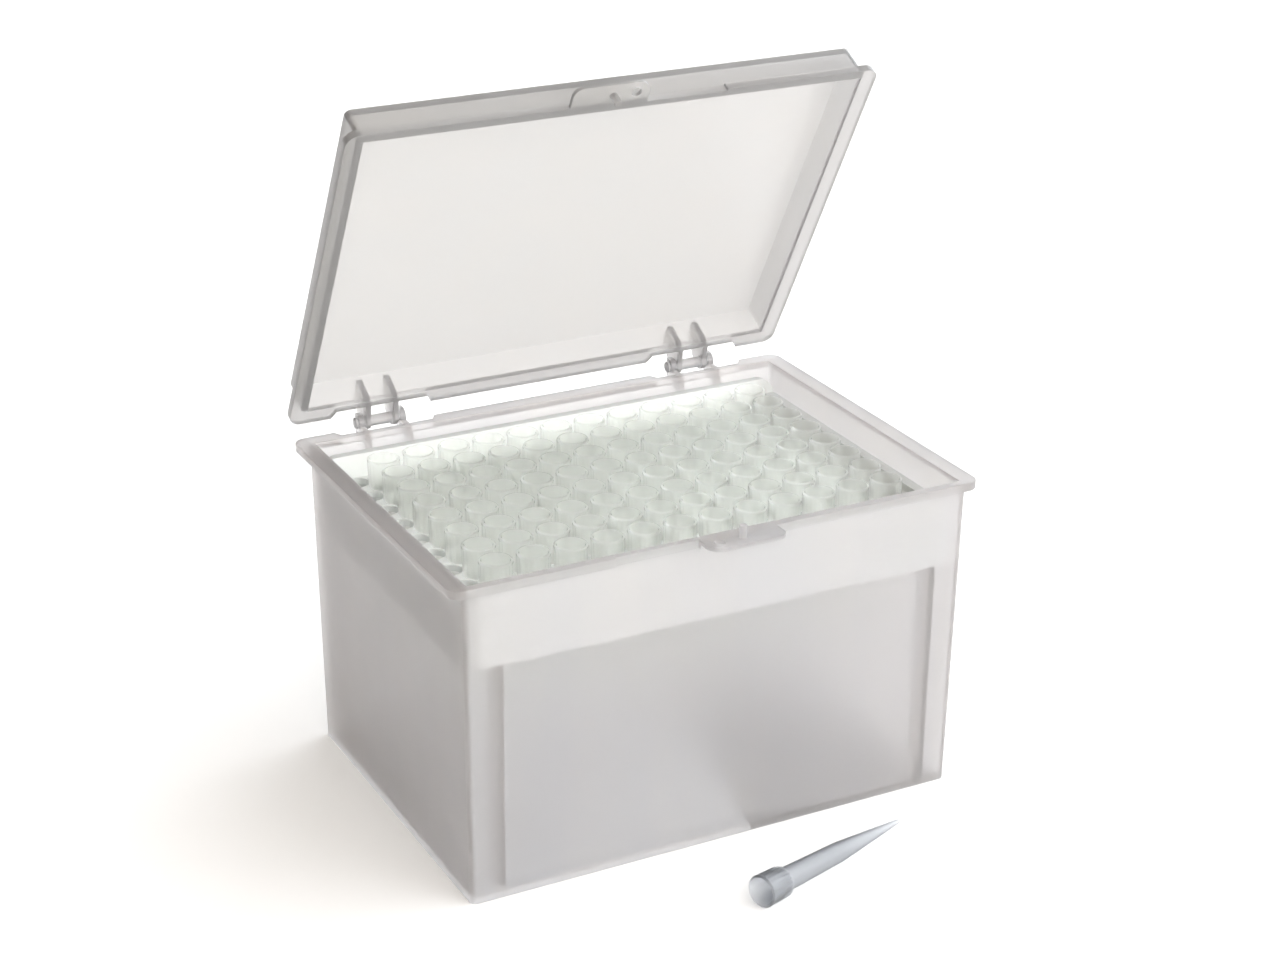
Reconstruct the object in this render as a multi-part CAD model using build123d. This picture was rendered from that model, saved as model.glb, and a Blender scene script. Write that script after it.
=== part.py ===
from build123d import *
import os
from math import acos, atan2, cos, degrees, hypot, radians, sin, tan

# Rack box for ninety-six pipette tips, in millimetres.
# X runs along the box, Y runs back to the hinges and Z is up.
# The origin is the middle of the underside of the box. The lid is modelled shut and then swung open.

# Tip pattern
PITCH = 9.0
COLUMNS = 12
ROWS = 8

# Box
BOX_LENGTH = 126.2  # outside the walls, at the rim
BOX_DEPTH = 89.6
BOX_HEIGHT = 77.8
BOX_WALL = 1.3
BOX_FLOOR = 1.5
DRAFT_ANGLE = 0.62
WALL_CORNER_RADIUS = 1.6

# Rim flange of the box and of the lid
FLANGE_THICKNESS = 2.0
FLANGE_OVERHANG = 3.0  # at both ends and at the back
FRONT_FLANGE_OVERHANG = 1.0
FLANGE_CORNER_RADIUS = 3.0
RIM_GAP = 0.2  # between the two rims when the lid is shut

# Lid
LID_HEIGHT = 9.3  # from its rim to its top
LID_WALL = 1.2
LID_TOP = 1.2
LID_OPEN_ANGLE = 61.0

# Hinges
HINGE_OFFSET_X = 42.5  # each hinge from the middle of the box
HINGE_AXIS_BACK = 6.1  # behind the back wall
HINGE_AXIS_UP = 0.1  # above the rim of the box
PIN_DIAMETER = 2.7
PIN_CLEARANCE = 0.07  # all round
PIN_END = 0.4  # proud of each lug
LUG_THICKNESS = 1.4
LUG_GAP = 9.2  # between the two lugs of a hinge
LUG_RADIUS = 2.4
LUG_CLIP_REACH = 0.7  # the open end of the lug, behind the axis, where the pin snaps in
LUG_FOOT_DROP = 5.5  # foot of the gusset, below the rim
LUG_TOP_DROP = 0.3  # top of the gusset, below the rim
ARM_THICKNESS = 1.4
ARM_SIDE_GAP = 0.35  # between an arm and its lug
ARM_RADIUS = 1.9  # round the pin
ARM_FIN_RADIUS = 7.8  # quarter disc that stands out from the back wall of the lid
ARM_HEEL_GAP = 0.5  # between the foot of an arm and the back edge of the flange
HINGE_RELIEF_LENGTH = 23.4  # where the flange stands back for the hinge
HINGE_RELIEF_OVERHANG = 0.8
HINGE_RELIEF_BEVEL = 1.2

# Front catch: each half has a tab with one hole and one peg
CATCH_MIDDLE_X = -0.9
CATCH_HALF_PITCH = 2.9  # hole and peg each stand this far from the middle
CATCH_REACH = 3.5  # hole and peg, out from the front wall
TAB_THICKNESS = 1.0
TAB_HOLE_END = 3.4  # from the hole to the near end of the tab
TAB_LENGTH = 19.2
TAB_REACH = 6.5  # out from the front wall
TAB_NEAR_RADIUS = 3.4
TAB_FAR_RADIUS = 2.4
PEG_DIAMETER = 1.8
PEG_CLEARANCE = 0.3  # all round
PEG_HEIGHT = 3.0
PEG_SIDES = 12
THUMB_GAP_LENGTH = 20.4  # where the front flange stands back beside the hole
THUMB_GAP_OVERHANG = 0.3

# Tray
TRAY_SIDE_GAP = 0.4
TRAY_CORNER_RADIUS = 4.0
TRAY_WALL = 1.4
DECK_DROP = 8.6  # top of the deck, below the rim of the box
DECK_THICKNESS = 1.6
SKIRT_DEPTH = 12.0  # from the top of the deck to the posts that carry the tray
SIDE_LIP_HEIGHT = 1.7  # above the deck, at both ends
SIDE_LIP_WIDTH = 2.6
FENCE_HEIGHT = 5.1  # above the deck, at the front and the back
FENCE_THICKNESS = 2.2  # at its top
FENCE_SLOPE = 1.7  # how much thicker it is at the deck
FENCE_END_RADIUS = 3.4
TIP_HOLE_DIAMETER = 6.2
TIP_HOLE_SIDES = 6
RELIEF_HOLE_DIAMETER = 6.4
RELIEF_HOLE_SIDES = 6
RELIEF_HOLE_OFFSET = 5.0  # from the first and the last column of tips
SNAP_RIB_LENGTH = 5.0
SNAP_RIB_HEIGHT = 1.0
SNAP_RIB_PROUD = 0.25
SNAP_RIB_SPACING = 59.0
SNAP_RIB_DROP = 3.3  # below the deck

# Posts inside the box that carry the tray
POST_WIDTH = 2.6
POST_DEPTH = 3.2
POST_SPACING = 109.8

# Tip
COLLAR_DIAMETER = 7.6  # at the mouth
COLLAR_FOOT_DIAMETER = 7.3
COLLAR_HEIGHT = 7.2
COLLAR_SIDES = 6
BORE_DIAMETER = 5.7  # at the mouth
BORE_END_DIAMETER = 3.6
BORE_DEPTH = 26.0
BARREL_DIAMETER = 5.5
BARREL_END_DIAMETER = 4.7
BARREL_LENGTH = 20.0
POINT_DIAMETER = 1.0
POINT_LENGTH = 22.3
SHANK_SIDES = 6

# Single tip that lies in front of the box
LOOSE_TIP_MOUTH_X = -6.0
LOOSE_TIP_MOUTH_Y = -73.6
LOOSE_TIP_TURN = 19.4  # from the X axis

# Values worked out from the sizes above
SLOPE = tan(radians(DRAFT_ANGLE))
HINGE_Y = BOX_DEPTH / 2 + HINGE_AXIS_BACK
HINGE_Z = BOX_HEIGHT + HINGE_AXIS_UP
LID_RIM_Z = BOX_HEIGHT + RIM_GAP
LUG_MIDDLE = LUG_GAP / 2 + LUG_THICKNESS / 2
ARM_MIDDLE = LUG_GAP / 2 - ARM_SIDE_GAP - ARM_THICKNESS / 2
DECK_HEIGHT = BOX_HEIGHT - DECK_DROP
TRAY_BOTTOM = DECK_HEIGHT - SKIRT_DEPTH
LEDGE_INSET = (BOX_HEIGHT - TRAY_BOTTOM) * SLOPE + BOX_WALL
TRAY_LENGTH = BOX_LENGTH - 2 * (LEDGE_INSET + TRAY_SIDE_GAP)
TRAY_DEPTH = BOX_DEPTH - 2 * (LEDGE_INSET + TRAY_SIDE_GAP)
COLUMN_XS = [PITCH * (column - (COLUMNS - 1) / 2) for column in range(COLUMNS)]
ROW_YS = [PITCH * (row - (ROWS - 1) / 2) for row in range(ROWS)]


def frustum(lower, upper):
    """Solid with flat sides between two like polygons, each a list of points."""
    faces = [Face(Wire.make_polygon(lower)), Face(Wire.make_polygon(upper))]
    for i in range(len(lower)):
        side = [lower[i - 1], lower[i], upper[i], upper[i - 1]]
        faces.append(Face(Wire.make_polygon(side)))
    return Solid(Shell(faces))


def wall_outline(inset, z, rim_z):
    """Corners of the walls' outline at height z, moved in by the inset."""
    shrink = inset + abs(rim_z - z) * SLOPE
    x = BOX_LENGTH / 2 - shrink
    y = BOX_DEPTH / 2 - shrink
    return [(-x, -y, z), (x, -y, z), (x, y, z), (-x, y, z)]


def drafted_block(inset, bottom_z, top_z, rim_z):
    """Block inside the walls by the given inset, that narrows away from rim_z by the draft."""
    return frustum(wall_outline(inset, bottom_z, rim_z), wall_outline(inset, top_z, rim_z))


def rounded_corners(block):
    """The block with its four upright edges rounded."""
    upright = block.edges().group_by(Axis.Z)[1]
    return fillet(upright, WALL_CORNER_RADIUS)


def side_plate(profile, middle_x, thickness):
    """Plate of the given YZ profile, centred on middle_x."""
    plate = extrude(Plane.YZ * profile, amount=thickness / 2, both=True)
    return Pos(middle_x, 0, 0) * plate


def tangent_point(outside, centre, radius, side):
    """Point where the line from outside touches the circle, on the left (1) or right (-1)."""
    dy = outside[0] - centre[0]
    dz = outside[1] - centre[1]
    turn = acos(radius / hypot(dy, dz))
    angle = atan2(dz, dy) + side * turn
    return (centre[0] + radius * cos(angle), centre[1] + radius * sin(angle))


def flange_blank(bottom_z):
    """Plain rim flange of the box or the lid, before its reliefs, with no opening inside."""
    length = BOX_LENGTH + 2 * FLANGE_OVERHANG
    depth = BOX_DEPTH + FLANGE_OVERHANG + FRONT_FLANGE_OVERHANG
    middle_y = (FLANGE_OVERHANG - FRONT_FLANGE_OVERHANG) / 2
    plan = RectangleRounded(length, depth, FLANGE_CORNER_RADIUS)
    return Pos(0, middle_y, bottom_z) * extrude(plan, amount=FLANGE_THICKNESS)


def hinge_relief(middle_x, bottom_z):
    """Cutter that sets the back flange back at one hinge, with bevelled ends."""
    inner_y = BOX_DEPTH / 2 + HINGE_RELIEF_OVERHANG
    outer_y = BOX_DEPTH / 2 + FLANGE_OVERHANG
    half = HINGE_RELIEF_LENGTH / 2
    plan = Polygon(
        (-half, inner_y),
        (half, inner_y),
        (half + HINGE_RELIEF_BEVEL, outer_y),
        (-half - HINGE_RELIEF_BEVEL, outer_y),
        align=None,
    )
    return Pos(middle_x, 0, bottom_z) * extrude(plan, amount=FLANGE_THICKNESS)


def catch_tab(hole_side, bottom_z):
    """Front tab that runs from its hole end, on hole_side of the middle, across the peg."""
    near_x = CATCH_MIDDLE_X + hole_side * (CATCH_HALF_PITCH + TAB_HOLE_END)
    middle_x = near_x - hole_side * TAB_LENGTH / 2
    middle_y = -BOX_DEPTH / 2 - TAB_REACH / 2
    plan = Pos(middle_x, middle_y) * Rectangle(TAB_LENGTH, TAB_REACH)
    front = plan.vertices().group_by(Axis.Y)[0].sort_by(Axis.X, reverse=hole_side > 0)
    plan = fillet(front[0], TAB_NEAR_RADIUS)
    far = plan.vertices().group_by(Axis.Y)[0].sort_by(Axis.X, reverse=hole_side > 0)
    plan = fillet(far[-1], TAB_FAR_RADIUS)
    return Pos(0, 0, bottom_z) * extrude(plan, amount=TAB_THICKNESS)


def catch_point(side, z):
    """Place of the hole or the peg on one side of the middle of the catch."""
    return Pos(CATCH_MIDDLE_X + side * CATCH_HALF_PITCH, -BOX_DEPTH / 2 - CATCH_REACH, z)


def catch_hole(side, bottom_z):
    outline = RegularPolygon(PEG_DIAMETER / 2 + PEG_CLEARANCE, PEG_SIDES)
    return catch_point(side, bottom_z) * extrude(outline, amount=TAB_THICKNESS)


def catch_peg(side, root_z, direction):
    """Peg that stands up (1) or hangs down (-1) from the face of a tab."""
    outline = RegularPolygon(PEG_DIAMETER / 2, PEG_SIDES)
    return catch_point(side, root_z) * extrude(outline, amount=direction * PEG_HEIGHT)


def thumb_gap(hole_side, bottom_z):
    """Cutter that sets the front flange back beside the hole end of the tab."""
    start_x = CATCH_MIDDLE_X + hole_side * (CATCH_HALF_PITCH + TAB_HOLE_END)
    middle_x = start_x + hole_side * THUMB_GAP_LENGTH / 2
    middle_y = -BOX_DEPTH / 2 - THUMB_GAP_OVERHANG - FRONT_FLANGE_OVERHANG / 2
    middle_z = bottom_z + FLANGE_THICKNESS / 2
    cutter = Box(THUMB_GAP_LENGTH, FRONT_FLANGE_OVERHANG, FLANGE_THICKNESS)
    return Pos(middle_x, middle_y, middle_z) * cutter


def rim_flange(hole_side, bottom_z, tab_z):
    """Rim flange with its hinge reliefs, thumb gap and catch tab, still without its opening."""
    flange = flange_blank(bottom_z)
    for middle_x in (-HINGE_OFFSET_X, HINGE_OFFSET_X):
        flange -= hinge_relief(middle_x, bottom_z)
    flange -= thumb_gap(hole_side, bottom_z)
    return flange + catch_tab(hole_side, tab_z)


def hinge_lug(middle_x):
    """Lug on the back wall of the box: a gusset that ends in a clip, open behind the pin."""
    foot = (BOX_DEPTH / 2 - BOX_WALL / 2, BOX_HEIGHT - LUG_FOOT_DROP)
    top = (BOX_DEPTH / 2 - BOX_WALL / 2, BOX_HEIGHT - LUG_TOP_DROP)
    eye = (HINGE_Y, HINGE_Z)
    touch = tangent_point(foot, eye, LUG_RADIUS, 1)
    gusset = Polygon(foot, touch, eye, (HINGE_Y, top[1]), top, align=None)
    profile = gusset + Pos(*eye) * Circle(LUG_RADIUS)
    profile -= Pos(*eye) * Circle(PIN_DIAMETER / 2 + PIN_CLEARANCE)
    behind = Rectangle(LUG_RADIUS, 2 * LUG_RADIUS, align=(Align.MIN, Align.CENTER))
    profile -= Pos(HINGE_Y + LUG_CLIP_REACH, HINGE_Z) * behind
    return side_plate(profile, middle_x, LUG_THICKNESS)


def hinge_arm(middle_x):
    """Arm of the lid: a quarter disc on its back wall, that runs into the eye round the pin."""
    eye = (HINGE_Y, HINGE_Z)
    heel = (BOX_DEPTH / 2 + HINGE_RELIEF_OVERHANG + ARM_HEEL_GAP, LID_RIM_Z)
    touch = tangent_point(heel, eye, ARM_RADIUS, 1)
    quarter = Rectangle(2 * ARM_FIN_RADIUS, ARM_FIN_RADIUS, align=(Align.MIN, Align.MIN))
    profile = Pos(BOX_DEPTH / 2, LID_RIM_Z) * Circle(ARM_FIN_RADIUS)
    profile &= Pos(BOX_DEPTH / 2 - LID_WALL / 2, LID_RIM_Z) * quarter
    profile += Pos(*eye) * Circle(ARM_RADIUS)
    profile += Polygon(heel, touch, eye, (heel[0], LID_RIM_Z + ARM_RADIUS), align=None)
    return side_plate(profile, middle_x, ARM_THICKNESS)


def hinge_pin(middle_x):
    length = LUG_GAP + 2 * (LUG_THICKNESS + PIN_END)
    pin = Rot(0, 90, 0) * Cylinder(PIN_DIAMETER / 2, length)
    return Pos(middle_x, HINGE_Y, HINGE_Z) * pin


def tray_post(side_x, side_y):
    """Post up the inside of the front or back wall, under the skirt of the tray."""
    inner_y = BOX_DEPTH / 2 - LEDGE_INSET - POST_DEPTH
    outer_y = BOX_DEPTH / 2 - BOX_HEIGHT * SLOPE - BOX_WALL / 2
    post = Box(POST_WIDTH, outer_y - inner_y, TRAY_BOTTOM - BOX_FLOOR / 2)
    middle_y = side_y * (outer_y + inner_y) / 2
    middle_z = (TRAY_BOTTOM + BOX_FLOOR / 2) / 2
    return Pos(side_x * POST_SPACING / 2, middle_y, middle_z) * post


def box_base():
    base = rounded_corners(drafted_block(0, 0, BOX_HEIGHT, BOX_HEIGHT))
    base += rim_flange(-1, BOX_HEIGHT - FLANGE_THICKNESS, BOX_HEIGHT - TAB_THICKNESS)
    for middle_x in (-HINGE_OFFSET_X, HINGE_OFFSET_X):
        base += hinge_lug(middle_x - LUG_MIDDLE)
        base += hinge_lug(middle_x + LUG_MIDDLE)
    base -= drafted_block(BOX_WALL, BOX_FLOOR, BOX_HEIGHT, BOX_HEIGHT)
    for side_x in (-1, 1):
        for side_y in (-1, 1):
            base += tray_post(side_x, side_y)
    base -= catch_hole(-1, BOX_HEIGHT - TAB_THICKNESS)
    return base + catch_peg(1, BOX_HEIGHT, 1)


def lid_shell():
    """Upturned shallow tray, narrower at its top by the draft, with its rim flange."""
    top_z = LID_RIM_Z + LID_HEIGHT
    block = rounded_corners(drafted_block(0, LID_RIM_Z, top_z, LID_RIM_Z))
    block += rim_flange(1, LID_RIM_Z, LID_RIM_Z)
    return block - drafted_block(LID_WALL, LID_RIM_Z, top_z - LID_TOP, LID_RIM_Z)


def lid():
    """Lid with its hinge arms and pins, swung open about the hinge axis."""
    shell = lid_shell()
    for middle_x in (-HINGE_OFFSET_X, HINGE_OFFSET_X):
        shell += hinge_arm(middle_x - ARM_MIDDLE)
        shell += hinge_arm(middle_x + ARM_MIDDLE)
        shell += hinge_pin(middle_x)
    shell -= catch_hole(1, LID_RIM_Z)
    shell += catch_peg(-1, LID_RIM_Z, -1)
    return shell.rotate(Axis((0, HINGE_Y, HINGE_Z), (1, 0, 0)), -LID_OPEN_ANGLE)


def tray_blank():
    """Outer form of the tray: rounded in plan, with the ends of both fences rounded off."""
    top_z = DECK_HEIGHT + FENCE_HEIGHT
    height = top_z - TRAY_BOTTOM
    plan = RectangleRounded(TRAY_LENGTH, TRAY_DEPTH, TRAY_CORNER_RADIUS)
    blank = Pos(0, 0, TRAY_BOTTOM) * extrude(plan, amount=height)
    front = Rectangle(TRAY_LENGTH, height)
    front = fillet(front.vertices().group_by(Axis.Y)[-1], FENCE_END_RADIUS)
    profile = extrude(Plane.XZ * front, amount=TRAY_DEPTH / 2, both=True)
    return blank & Pos(0, 0, TRAY_BOTTOM + height / 2) * profile


def tray_pocket():
    """Room above the deck: open over both end lips, with sloping fences front and back."""
    deck_half = TRAY_DEPTH / 2 - FENCE_THICKNESS - FENCE_SLOPE
    top_half = TRAY_DEPTH / 2 - FENCE_THICKNESS
    top_z = DECK_HEIGHT + FENCE_HEIGHT
    section = Polygon(
        (-deck_half, DECK_HEIGHT),
        (deck_half, DECK_HEIGHT),
        (top_half, top_z),
        (-top_half, top_z),
        align=None,
    )
    channel = extrude(Plane.YZ * section, amount=TRAY_LENGTH / 2, both=True)
    lip = Box(SIDE_LIP_WIDTH, TRAY_DEPTH, SIDE_LIP_HEIGHT)
    lip_x = TRAY_LENGTH / 2 - SIDE_LIP_WIDTH / 2
    lip_z = DECK_HEIGHT + SIDE_LIP_HEIGHT / 2
    for side in (-1, 1):
        channel -= Pos(side * lip_x, 0, lip_z) * lip
    return channel


def tray_underside():
    plan = RectangleRounded(
        TRAY_LENGTH - 2 * TRAY_WALL,
        TRAY_DEPTH - 2 * TRAY_WALL,
        TRAY_CORNER_RADIUS - TRAY_WALL,
    )
    height = DECK_HEIGHT - DECK_THICKNESS - TRAY_BOTTOM
    return Pos(0, 0, TRAY_BOTTOM) * extrude(plan, amount=height)


def relief_hole_places():
    """Places beyond the first and last columns, between and beside the rows of tips."""
    end_x = COLUMN_XS[-1] + RELIEF_HOLE_OFFSET
    first_y = -PITCH * ROWS / 2
    return [(side * end_x, first_y + PITCH * i) for side in (-1, 1) for i in range(ROWS + 1)]


def deck_holes():
    places = [(x, y) for x in COLUMN_XS for y in ROW_YS]
    tip_hole = RegularPolygon(TIP_HOLE_DIAMETER / 2, TIP_HOLE_SIDES)
    relief_hole = RegularPolygon(RELIEF_HOLE_DIAMETER / 2, RELIEF_HOLE_SIDES)
    plan = Sketch() + [Pos(x, y) * tip_hole for x, y in places]
    plan += [Pos(x, y) * relief_hole for x, y in relief_hole_places()]
    bottom_z = DECK_HEIGHT - DECK_THICKNESS
    return Pos(0, 0, bottom_z) * extrude(plan, amount=DECK_THICKNESS)


def snap_ribs():
    """Small level ribs on both ends of the skirt, which hold the tray down by friction."""
    rib_x = TRAY_LENGTH / 2
    rib_z = DECK_HEIGHT - SNAP_RIB_DROP
    rib = Box(2 * SNAP_RIB_PROUD, SNAP_RIB_LENGTH, SNAP_RIB_HEIGHT)
    ends = [(side, end) for side in (-1, 1) for end in (-1, 1)]
    return [Pos(side * rib_x, end * SNAP_RIB_SPACING / 2, rib_z) * rib for side, end in ends]


def tip_tray():
    tray = tray_blank() - tray_pocket() - tray_underside() - deck_holes()
    return tray + snap_ribs()


def ring_of_points(sides, diameter, z):
    """Corners of a level regular polygon."""
    angles = [radians(360 * i / sides) for i in range(sides)]
    return [(diameter / 2 * cos(angle), diameter / 2 * sin(angle), z) for angle in angles]


def polygon_taper(sides, bottom_diameter, top_diameter, bottom_z, top_z):
    """Upright taper between two regular polygons."""
    foot = ring_of_points(sides, bottom_diameter, bottom_z)
    return frustum(foot, ring_of_points(sides, top_diameter, top_z))


def tip():
    """One tip, with the foot of its collar at z = 0 and its point below."""
    shank_z = -BARREL_LENGTH
    point_z = shank_z - POINT_LENGTH
    body = polygon_taper(SHANK_SIDES, POINT_DIAMETER, BARREL_END_DIAMETER, point_z, shank_z)
    body += polygon_taper(SHANK_SIDES, BARREL_END_DIAMETER, BARREL_DIAMETER, shank_z, 0)
    body += polygon_taper(COLLAR_SIDES, COLLAR_FOOT_DIAMETER, COLLAR_DIAMETER, 0, COLLAR_HEIGHT)
    bore_z = COLLAR_HEIGHT - BORE_DEPTH
    return body - polygon_taper(SHANK_SIDES, BORE_END_DIAMETER, BORE_DIAMETER, bore_z, COLLAR_HEIGHT)


def tip_column(one_tip, x):
    """The tips of one column, standing in the deck on the feet of their collars."""
    return Compound(children=[Pos(x, y, DECK_HEIGHT) * one_tip for y in ROW_YS])


def loose_tip(one_tip):
    """One tip on its side on the floor, resting on the rim of its mouth and on its point."""
    length = COLLAR_HEIGHT + BARREL_LENGTH + POINT_LENGTH
    mouth_flat = COLLAR_DIAMETER / 2 * cos(radians(180 / COLLAR_SIDES))
    point_flat = POINT_DIAMETER / 2 * cos(radians(180 / SHANK_SIDES))
    droop = atan2(mouth_flat - point_flat, length)
    roll = Rot(0, 0, 180 / COLLAR_SIDES)
    lying = Rot(0, -90, 0) * roll * Pos(0, 0, -COLLAR_HEIGHT) * one_tip
    lying = Rot(0, degrees(droop), 0) * lying
    lying = Rot(0, 0, LOOSE_TIP_TURN) * lying
    lowest = lying.bounding_box().min.Z
    return Pos(LOOSE_TIP_MOUTH_X, LOOSE_TIP_MOUTH_Y, -lowest) * lying


def main():
    os.makedirs("parts", exist_ok=True)
    export_step(box_base(), "parts/box_base.step")
    export_step(lid(), "parts/lid.step")
    export_step(tip_tray(), "parts/tip_tray.step")
    one_tip = tip()
    for number, x in enumerate(COLUMN_XS, start=1):
        export_step(tip_column(one_tip, x), f"parts/tips_column_{number:02d}.step")
    export_step(loose_tip(one_tip), "parts/loose_tip.step")


main()
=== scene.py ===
from math import atan2, cos, pi, radians, sin

import bmesh
import bpy
from mathutils import Matrix, Vector


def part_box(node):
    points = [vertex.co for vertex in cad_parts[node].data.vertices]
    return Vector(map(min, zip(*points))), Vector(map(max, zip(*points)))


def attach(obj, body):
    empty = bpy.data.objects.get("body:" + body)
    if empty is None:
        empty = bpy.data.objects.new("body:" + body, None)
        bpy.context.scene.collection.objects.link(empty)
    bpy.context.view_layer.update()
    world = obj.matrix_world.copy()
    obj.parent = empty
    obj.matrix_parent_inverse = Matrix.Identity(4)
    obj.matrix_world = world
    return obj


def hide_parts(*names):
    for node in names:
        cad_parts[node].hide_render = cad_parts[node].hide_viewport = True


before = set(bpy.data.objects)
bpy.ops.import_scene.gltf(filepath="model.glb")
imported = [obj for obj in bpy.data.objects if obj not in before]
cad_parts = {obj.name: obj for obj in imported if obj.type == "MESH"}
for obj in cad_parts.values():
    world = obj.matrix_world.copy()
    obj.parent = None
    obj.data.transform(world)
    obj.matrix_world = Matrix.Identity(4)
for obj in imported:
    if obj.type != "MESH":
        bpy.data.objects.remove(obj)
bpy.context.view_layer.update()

# Places and sizes are in metres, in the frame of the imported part.
MM = 0.001

# Camera
CAMERA_PLACE = (-0.2557, -0.4895, 0.3107)
CAMERA_YAW = 27.76  # degrees to the right of +Y
CAMERA_PITCH = -23.27
CAMERA_ROLL = 0.43
CAMERA_LENS = 72.5
CAMERA_NEAR = 0.01
SENSOR_WIDTH = 36.0

# Light
SIDE_LIGHTS = (  # direction, color times strength, narrowness
    ((1, 0, 0), (4.2, 4.45, 4.7), 2),
    ((0, -1, 0), (3.6, 3.42, 3.25), 4),
    ((0, 0, 1), (0.75, 0.68, 0.6), 2),
)
KEY_POWER = 3
KEY_PLACE = (0.6, -0.9, 0.5)
KEY_AIM = (0, 0, 0.05)
KEY_SIZE = (0.7, 0.7)
STRIP_POWER = 4.2
STRIP_PLACE = (0.1, -0.95, 0.04)
STRIP_AIM = (0, 0, 0.04)
STRIP_SIZE = (1.0, 0.07)
WALL_BOUNCES = 40  # through the thin walls that lie behind each other
SURFACE_BOUNCES = 8

# Floor
FLOOR_HALF_SIZE = 6
FLOOR_COLOR = (0.99, 0.99, 0.99)
FLOOR_ROUGHNESS = 0.9
FLOOR_GLOW = 0.2

# Plastics
COLOR_NOISE_SPAN = (0.35, 0.65)  # noise values that give the first and the second color
ROUGHNESS_NOISE_SPAN = (0.3, 0.7)
BODY_NOISE_SCALE = 60
SURFACE_NOISE_SCALE = 100
FROST_IOR = 1.3
FROST_COAT = 0.25
FROST_COAT_ROUGHNESS = 0.12
FROST_SPREAD = 0.05  # of the roughness, up and down
FROST_BUMP_SCALE = 120
FROST_BUMP = 0.003 * MM
TIP_IOR = 1.1
TIP_COAT = 0.15
TIP_COAT_ROUGHNESS = 0.1
TIP_BODY_SCALE = 90
TIP_SURFACE_SCALE = 200
TIP_BUMP_SCALE = 300
TIP_BUMP = 0.02 * MM
WHITE_IOR = 1.49
WHITE_BUMP_SCALE = 1500
WHITE_BUMP = 0.01 * MM
PLAIN_SPREAD = 0.1  # of the roughness of the tips and the tray

# Tips
PITCH = 9 * MM
ROWS = 8
COLUMNS = 12
ROW_TURN = 37  # degrees between neighbours, so that their ribs do not line up
COLUMN_TURN = 61
COLLAR_RADIUS = 3.8 * MM
COLLAR_FOOT_RADIUS = 3.65 * MM
COLLAR_FOOT_INSET = 0.2 * MM
COLLAR_HEIGHT = 7.2 * MM
LIP_INSET = 0.45 * MM  # the lip curves in from the collar by this much
LIP_DROP = 0.25 * MM
LIP_MIDDLE_INSET = 0.2 * MM
LIP_MIDDLE_DROP = 0.05 * MM
CROWN_HEIGHT = 0.7 * MM  # plain top of the collar, above its ribs
COLLAR_RIBS = 20
RIB_DEPTH = 0.3 * MM
RIB_RUNOUT = 0.2 * MM
RIB_FOOT = 0.3 * MM
BARREL_RADIUS = 2.75 * MM
BARREL_END_RADIUS = 2.35 * MM
BARREL_LENGTH = 20 * MM
POINT_RADIUS = 0.5 * MM
POINT_LENGTH = 22.3 * MM
BORE_RADIUS = 3.15 * MM
BORE_DROP = 0.3 * MM  # below the mouth
TIP_WALL = 0.55 * MM
ORIFICE_RADIUS = 0.25 * MM
TIP_SEGMENTS = 60
LOOSE_TIP_MOUTH = (-6.0 * MM, -73.6 * MM)
LOOSE_TIP_TURN = radians(19.4)

# Mouldings
BOX_EDGE = 0.35 * MM
LID_EDGE = 0.35 * MM
TRAY_EDGE = 0.3 * MM
EDGE_SEGMENTS = 3
WELD_DISTANCE = 0.002 * MM
UPRIGHT_SLACK = 0.01 * MM
HOLE_CORNER_ANGLE = radians(60)
END_HOLES_START = 52 * MM  # from the middle of the tray
HOLE_RADIUS = 3.2 * MM
HOLE_GROWTH = 0.1 * MM
HOLE_ROUNDING = 1.5 * MM
HOLE_CORNER_SEGMENTS = 4
CREASE_ANGLE = radians(35)
FLAT_ANGLE = radians(1)


def principled(name, color, roughness):
    """New material with one Principled shader; returns both."""
    material = bpy.data.materials.new(name)
    material.use_nodes = True
    shader = material.node_tree.nodes["Principled BSDF"]
    shader.inputs["Base Color"].default_value = (*color, 1)
    shader.inputs["Roughness"].default_value = roughness
    return material, shader


def noise(tree, scale, detail, stretch=(1, 1, 1)):
    """Noise in the object's own space, drawn out by the stretch."""
    place = tree.nodes.new("ShaderNodeTexCoord")
    mapping = tree.nodes.new("ShaderNodeMapping")
    texture = tree.nodes.new("ShaderNodeTexNoise")
    mapping.inputs["Scale"].default_value = stretch
    texture.inputs["Scale"].default_value = scale
    texture.inputs["Detail"].default_value = detail
    tree.links.new(place.outputs["Object"], mapping.inputs["Vector"])
    tree.links.new(mapping.outputs["Vector"], texture.inputs["Vector"])
    return texture.outputs["Fac"]


def vary_color(tree, shader, fac, colors):
    """The body's color drifts between two near ones."""
    ramp = tree.nodes.new("ShaderNodeValToRGB")
    for element, position, color in zip(ramp.color_ramp.elements, COLOR_NOISE_SPAN, colors):
        element.position = position
        element.color = (*color, 1)
    tree.links.new(fac, ramp.inputs["Fac"])
    tree.links.new(ramp.outputs["Color"], shader.inputs["Base Color"])


def vary_roughness(tree, shader, fac, low, high):
    """The surface is a little smoother in some places than in others."""
    spread = tree.nodes.new("ShaderNodeMapRange")
    spread.inputs["From Min"].default_value = ROUGHNESS_NOISE_SPAN[0]
    spread.inputs["From Max"].default_value = ROUGHNESS_NOISE_SPAN[1]
    spread.inputs["To Min"].default_value = low
    spread.inputs["To Max"].default_value = high
    tree.links.new(fac, spread.inputs["Value"])
    tree.links.new(spread.outputs["Result"], shader.inputs["Roughness"])


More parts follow.
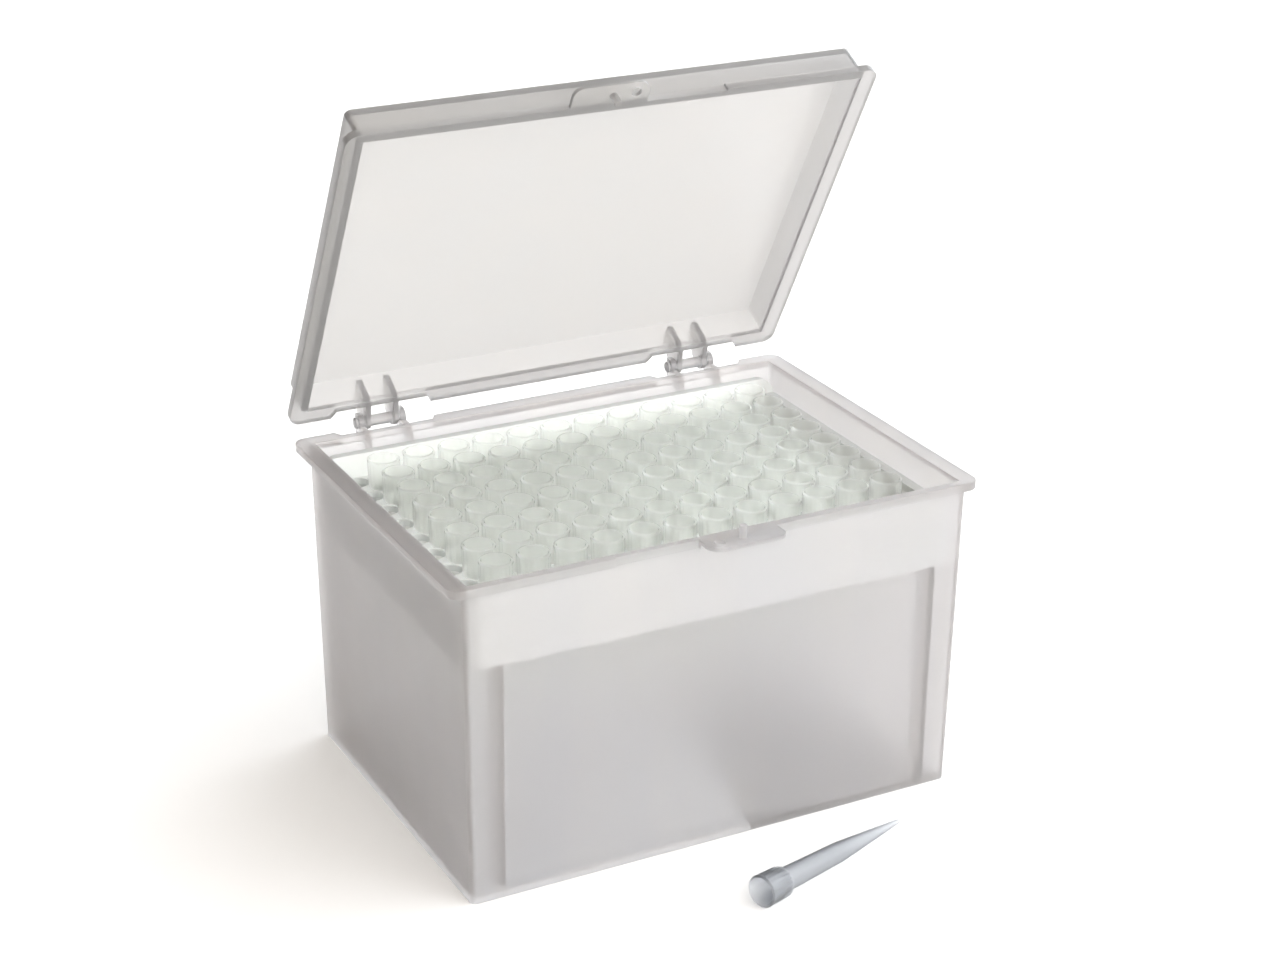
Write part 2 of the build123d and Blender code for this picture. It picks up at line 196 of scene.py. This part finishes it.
def add_bump(tree, shader, fac, depth):
    """Fine relief of the moulded surface."""
    bump = tree.nodes.new("ShaderNodeBump")
    bump.inputs["Strength"].default_value = 1
    bump.inputs["Distance"].default_value = depth
    tree.links.new(fac, bump.inputs["Height"])
    tree.links.new(bump.outputs["Normal"], shader.inputs["Normal"])


def absorb(tree, color, density):
    """Thick sections look darker than thin ones."""
    volume = tree.nodes.new("ShaderNodeVolumeAbsorption")
    volume.inputs["Color"].default_value = (*color, 1)
    volume.inputs["Density"].default_value = density
    output = tree.nodes["Material Output"]
    tree.links.new(volume.outputs["Volume"], output.inputs["Volume"])


def frosted_plastic(name, colors, roughness, transmission, streaks, smoke, density):
    """Cloudy polypropylene: a pale body that lets blurred light through."""
    material, shader = principled(name, colors[0], roughness)
    tree = material.node_tree
    shader.inputs["Transmission Weight"].default_value = transmission
    shader.inputs["IOR"].default_value = FROST_IOR
    shader.inputs["Coat Weight"].default_value = FROST_COAT
    shader.inputs["Coat Roughness"].default_value = FROST_COAT_ROUGHNESS
    low, high = roughness * (1 - FROST_SPREAD), roughness * (1 + FROST_SPREAD)
    vary_color(tree, shader, noise(tree, BODY_NOISE_SCALE, 2, streaks), colors)
    vary_roughness(tree, shader, noise(tree, SURFACE_NOISE_SCALE, 2), low, high)
    add_bump(tree, shader, noise(tree, FROST_BUMP_SCALE, 2, streaks), FROST_BUMP)
    absorb(tree, smoke, density)
    return material


def clear_plastic(name, colors, roughness, transmission, smoke, density):
    """Milky tips: they let light through and have a faint gloss."""
    material, shader = principled(name, colors[0], roughness)
    tree = material.node_tree
    shader.inputs["Transmission Weight"].default_value = transmission
    shader.inputs["IOR"].default_value = TIP_IOR
    shader.inputs["Coat Weight"].default_value = TIP_COAT
    shader.inputs["Coat Roughness"].default_value = TIP_COAT_ROUGHNESS
    low, high = roughness * (1 - PLAIN_SPREAD), roughness * (1 + PLAIN_SPREAD)
    vary_color(tree, shader, noise(tree, TIP_BODY_SCALE, 2), colors)
    vary_roughness(tree, shader, noise(tree, TIP_SURFACE_SCALE, 2), low, high)
    add_bump(tree, shader, noise(tree, TIP_BUMP_SCALE, 2), TIP_BUMP)
    absorb(tree, smoke, density)
    return material


def white_plastic(name, colors, roughness):
    """Opaque white moulding."""
    material, shader = principled(name, colors[0], roughness)
    tree = material.node_tree
    shader.inputs["IOR"].default_value = WHITE_IOR
    low, high = roughness * (1 - PLAIN_SPREAD), roughness * (1 + PLAIN_SPREAD)
    vary_color(tree, shader, noise(tree, BODY_NOISE_SCALE, 2), colors)
    vary_roughness(tree, shader, noise(tree, SURFACE_NOISE_SCALE, 2), low, high)
    add_bump(tree, shader, noise(tree, WHITE_BUMP_SCALE, 3), WHITE_BUMP)
    return material


def new_piece(name, mesh, body, material, node):
    """Object that rides on a body and stands for the given CAD node."""
    piece = bpy.data.objects.new(name, mesh)
    bpy.context.collection.objects.link(piece)
    piece.data.materials.clear()
    piece.data.materials.append(material)
    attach(piece, body)
    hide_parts(node)
    return piece


def finished_mesh(name, bm):
    """Smooth mesh that keeps its creases sharp."""
    mesh = bpy.data.meshes.new(name)
    bm.to_mesh(mesh)
    bm.free()
    mesh.shade_smooth()
    mesh.set_sharp_from_angle(angle=CREASE_ANGLE)
    return mesh


def clean_copy(node):
    """The node's own shape as a bmesh of whole flat faces."""
    bm = bmesh.new()
    bm.from_mesh(bpy.data.objects[node].data)
    bmesh.ops.remove_doubles(bm, verts=bm.verts, dist=WELD_DISTANCE)
    bmesh.ops.dissolve_limit(bm, angle_limit=FLAT_ANGLE, verts=bm.verts, edges=bm.edges)
    return bm


def round_edges(bm, width):
    """Rounds every crease of the mesh."""
    sharp = [e for e in bm.edges if e.is_manifold and e.calc_face_angle() > CREASE_ANGLE]
    bmesh.ops.bevel(
        bm, geom=sharp, offset=width, segments=EDGE_SEGMENTS, profile=0.5,
        affect="EDGES", clamp_overlap=True,
    )


def is_hole_corner(edge):
    """Tells whether the edge is an upright corner of a six-sided hole."""
    if not edge.is_manifold or (edge.verts[0].co - edge.verts[1].co).xy.length >= UPRIGHT_SLACK:
        return False
    return abs(edge.calc_face_angle_signed() + HOLE_CORNER_ANGLE) < FLAT_ANGLE


def round_end_holes(bm):
    """Makes the six-sided holes at both ends of the tray round."""
    corners = []
    for edge in filter(is_hole_corner, bm.edges):
        inward = (edge.link_faces[0].normal + edge.link_faces[1].normal).normalized()
        middle = edge.verts[0].co + HOLE_RADIUS * inward
        if abs(middle.x) > END_HOLES_START:
            corners.append(edge)
            for vert in edge.verts:
                vert.co -= HOLE_GROWTH * inward
    bmesh.ops.bevel(
        bm, geom=corners, offset=HOLE_ROUNDING, segments=HOLE_CORNER_SEGMENTS, profile=0.5,
        affect="EDGES",
    )


def moulding(name, node, body, material, width, has_end_holes=False):
    """Copy of a CAD node with rounded edges, in its place."""
    bm = clean_copy(node)
    if has_end_holes:
        round_end_holes(bm)
    round_edges(bm, width)
    return new_piece(name, finished_mesh(name, bm), body, material, node)


def tip_profile():
    """Half a tip, from the mouth down outside and back up inside: radius, height, rib depth."""
    crown = COLLAR_HEIGHT - CROWN_HEIGHT
    shank = -BARREL_LENGTH
    point = shank - POINT_LENGTH
    outside = [
        (COLLAR_RADIUS - LIP_INSET, COLLAR_HEIGHT, 0),
        (COLLAR_RADIUS - LIP_MIDDLE_INSET, COLLAR_HEIGHT - LIP_MIDDLE_DROP, 0),
        (COLLAR_RADIUS, COLLAR_HEIGHT - LIP_DROP, 0),
        (COLLAR_RADIUS, crown, 0),
        (COLLAR_RADIUS, crown - RIB_RUNOUT, RIB_DEPTH),
        (COLLAR_FOOT_RADIUS, RIB_FOOT, RIB_DEPTH),
        (COLLAR_FOOT_RADIUS - COLLAR_FOOT_INSET, 0, 0),
        (BARREL_RADIUS, 0, 0),
        (BARREL_END_RADIUS, shank, 0),
        (POINT_RADIUS, point, 0),
    ]
    inside = [
        (ORIFICE_RADIUS, point, 0),
        (BARREL_END_RADIUS - TIP_WALL, shank, 0),
        (BARREL_RADIUS - TIP_WALL, 0, 0),
        (BORE_RADIUS, COLLAR_HEIGHT - BORE_DROP, 0),
    ]
    return outside + inside


def add_tip(bm, place):
    """One tip, turned about its axis and moved to its place by a matrix."""
    rings = []
    for radius, height, depth in tip_profile():
        ring = []
        for step in range(TIP_SEGMENTS):
            angle = 2 * pi * step / TIP_SEGMENTS
            reach = radius - depth * (0.5 - 0.5 * cos(COLLAR_RIBS * angle))
            point = Vector((reach * cos(angle), reach * sin(angle), height))
            ring.append(bm.verts.new(place @ point))
        rings.append(ring)
    for upper, lower in zip(rings, rings[1:] + rings[:1]):
        for step in range(TIP_SEGMENTS):
            after = (step + 1) % TIP_SEGMENTS
            bm.faces.new((upper[step], lower[step], lower[after], upper[after]))


def tip_column(number, material):
    """The eight tips of one column, where their CAD node stands."""
    node = f"tips_column_{number:02d}"
    low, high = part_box(node)
    bm = bmesh.new()
    for row in range(ROWS):
        y = (low[1] + high[1]) / 2 + PITCH * (row - (ROWS - 1) / 2)
        place = Matrix.Translation(((low[0] + high[0]) / 2, y, high[2] - COLLAR_HEIGHT))
        turn = Matrix.Rotation(radians(ROW_TURN * row + COLUMN_TURN * number), 4, "Z")
        add_tip(bm, place @ turn)
    name = f"tips_{number:02d}"
    return new_piece(name, finished_mesh(name, bm), "box", material, node)


def loose_tip(material):
    """The single tip, lying on its collar's rim and its point."""
    name = "single_tip"
    length = COLLAR_HEIGHT + BARREL_LENGTH + POINT_LENGTH
    droop = atan2(COLLAR_RADIUS - POINT_RADIUS, length)
    lying = Matrix.Rotation(LOOSE_TIP_TURN, 4, "Z") @ Matrix.Rotation(droop - pi / 2, 4, "Y")
    lying = lying @ Matrix.Translation((0, 0, -COLLAR_HEIGHT))
    bm = bmesh.new()
    add_tip(bm, lying)
    lowest = min(vert.co.z for vert in bm.verts)
    bmesh.ops.translate(bm, verts=bm.verts, vec=(*LOOSE_TIP_MOUTH, -lowest))
    return new_piece(name, finished_mesh(name, bm), "box", material, "loose_tip")


def place_camera():
    """Camera that looks down at the front and the left side of the box."""
    data = bpy.data.cameras.new("camera")
    data.lens = CAMERA_LENS
    data.sensor_width = SENSOR_WIDTH
    data.clip_start = CAMERA_NEAR
    camera = bpy.data.objects.new("camera", data)
    heading = Matrix.Rotation(-radians(CAMERA_YAW), 4, "Z")
    tilt = Matrix.Rotation(radians(90 + CAMERA_PITCH), 4, "X")
    roll = Matrix.Rotation(radians(CAMERA_ROLL), 4, "Z")
    camera.matrix_world = Matrix.Translation(CAMERA_PLACE) @ heading @ tilt @ roll
    bpy.context.collection.objects.link(camera)
    bpy.context.scene.camera = camera


def soft_light(name, place, aim, size, power):
    """White panel of light at a place, turned to its aim."""
    data = bpy.data.lights.new(name, "AREA")
    data.shape = "RECTANGLE"
    data.size, data.size_y = size
    data.energy = power
    light = bpy.data.objects.new(name, data)
    light.location = place
    toward = Vector(aim) - Vector(place)
    light.rotation_euler = toward.to_track_quat("-Z", "Y").to_euler()
    bpy.context.collection.objects.link(light)


def studio_world():
    """Soft light from a few sides, each with its own color and strength."""
    world = bpy.data.worlds.new("studio")
    world.use_nodes = True
    nodes, links = world.node_tree.nodes, world.node_tree.links
    place = nodes.new("ShaderNodeTexCoord")
    total = None
    for side, color, narrowness in SIDE_LIGHTS:
        along = nodes.new("ShaderNodeVectorMath")
        along.operation = "DOT_PRODUCT"
        along.inputs[1].default_value = side
        facing = nodes.new("ShaderNodeMath")
        facing.operation = "MAXIMUM"
        facing.inputs[1].default_value = 0
        lobe = nodes.new("ShaderNodeMath")
        lobe.operation = "POWER"
        lobe.inputs[1].default_value = narrowness
        light = nodes.new("ShaderNodeVectorMath")
        light.operation = "MULTIPLY_ADD"
        light.inputs[0].default_value = color
        links.new(place.outputs["Generated"], along.inputs[0])
        links.new(along.outputs["Value"], facing.inputs[0])
        links.new(facing.outputs["Value"], lobe.inputs[0])
        links.new(lobe.outputs["Value"], light.inputs[1])
        if total:
            links.new(total, light.inputs[2])
        total = light.outputs["Vector"]
    links.new(total, nodes["Background"].inputs["Color"])
    bpy.context.scene.world = world


def light_scene():
    """World light, a key panel and a low strip, with plain display of colors."""
    studio_world()
    soft_light("key", KEY_PLACE, KEY_AIM, KEY_SIZE, KEY_POWER)
    soft_light("strip", STRIP_PLACE, STRIP_AIM, STRIP_SIZE, STRIP_POWER)
    bpy.context.scene.view_settings.view_transform = "Standard"


def deep_paths():
    """Follows light through all the thin walls that lie behind each other."""
    cycles = bpy.context.scene.cycles
    cycles.max_bounces = WALL_BOUNCES
    cycles.transmission_bounces = WALL_BOUNCES
    cycles.diffuse_bounces = SURFACE_BOUNCES
    cycles.glossy_bounces = SURFACE_BOUNCES
    cycles.transparent_max_bounces = WALL_BOUNCES


def make_floor():
    """Plain white floor under the box."""
    bm = bmesh.new()
    bmesh.ops.create_grid(bm, x_segments=1, y_segments=1, size=FLOOR_HALF_SIZE)
    mesh = bpy.data.meshes.new("floor")
    bm.to_mesh(mesh)
    bm.free()
    floor = bpy.data.objects.new("floor", mesh)
    bpy.context.collection.objects.link(floor)
    material, shader = principled("floor_white", FLOOR_COLOR, FLOOR_ROUGHNESS)
    shader.inputs["Emission Color"].default_value = (1, 1, 1, 1)
    shader.inputs["Emission Strength"].default_value = FLOOR_GLOW
    floor.data.materials.append(material)


box_plastic = frosted_plastic(
    "frosted_box",
    colors=((0.83, 0.83, 0.835), (0.805, 0.81, 0.825)),
    roughness=0.5,
    transmission=0.89,
    streaks=(1, 1, 0.15),
    smoke=(0.54, 0.45, 0.4),
    density=135,
)
lid_plastic = frosted_plastic(
    "frosted_lid",
    colors=((0.905, 0.893, 0.865), (0.895, 0.888, 0.865)),
    roughness=0.34,
    transmission=0.85,
    streaks=(1, 1, 1),
    smoke=(0.46, 0.45, 0.48),
    density=420,
)
tray_plastic = white_plastic(
    "white_tray",
    colors=((0.73, 0.755, 0.745), (0.75, 0.77, 0.76)),
    roughness=0.4,
)
tip_plastic = clear_plastic(
    "clear_tips",
    colors=((0.995, 1.0, 0.99), (0.99, 0.995, 0.985)),
    roughness=0.65,
    transmission=1.0,
    smoke=(0.77, 0.775, 0.75),
    density=55,
)
# Painted shade: the lone tip is the same plastic as the tips in the rack. Its darker, bluer
# body colour and dense absorption stand for the shade it lies in on the floor.
shaded_single_tip_plastic = clear_plastic(
    "shaded_single_tip",
    colors=((0.94, 0.95, 0.96), (0.95, 0.96, 0.97)),
    roughness=0.5,
    transmission=0.9,
    smoke=(0.51, 0.53, 0.565),
    density=1050,
)

place_camera()
light_scene()
deep_paths()
make_floor()
moulding("box_shell", "box_base", "box", box_plastic, BOX_EDGE)
moulding("lid_shell", "lid", "lid", lid_plastic, LID_EDGE)
moulding(
    "tray_shell", "tip_tray", "box", tray_plastic, TRAY_EDGE, has_end_holes=True
)
for column in range(1, COLUMNS + 1):
    tip_column(column, tip_plastic)
loose_tip(shaded_single_tip_plastic)
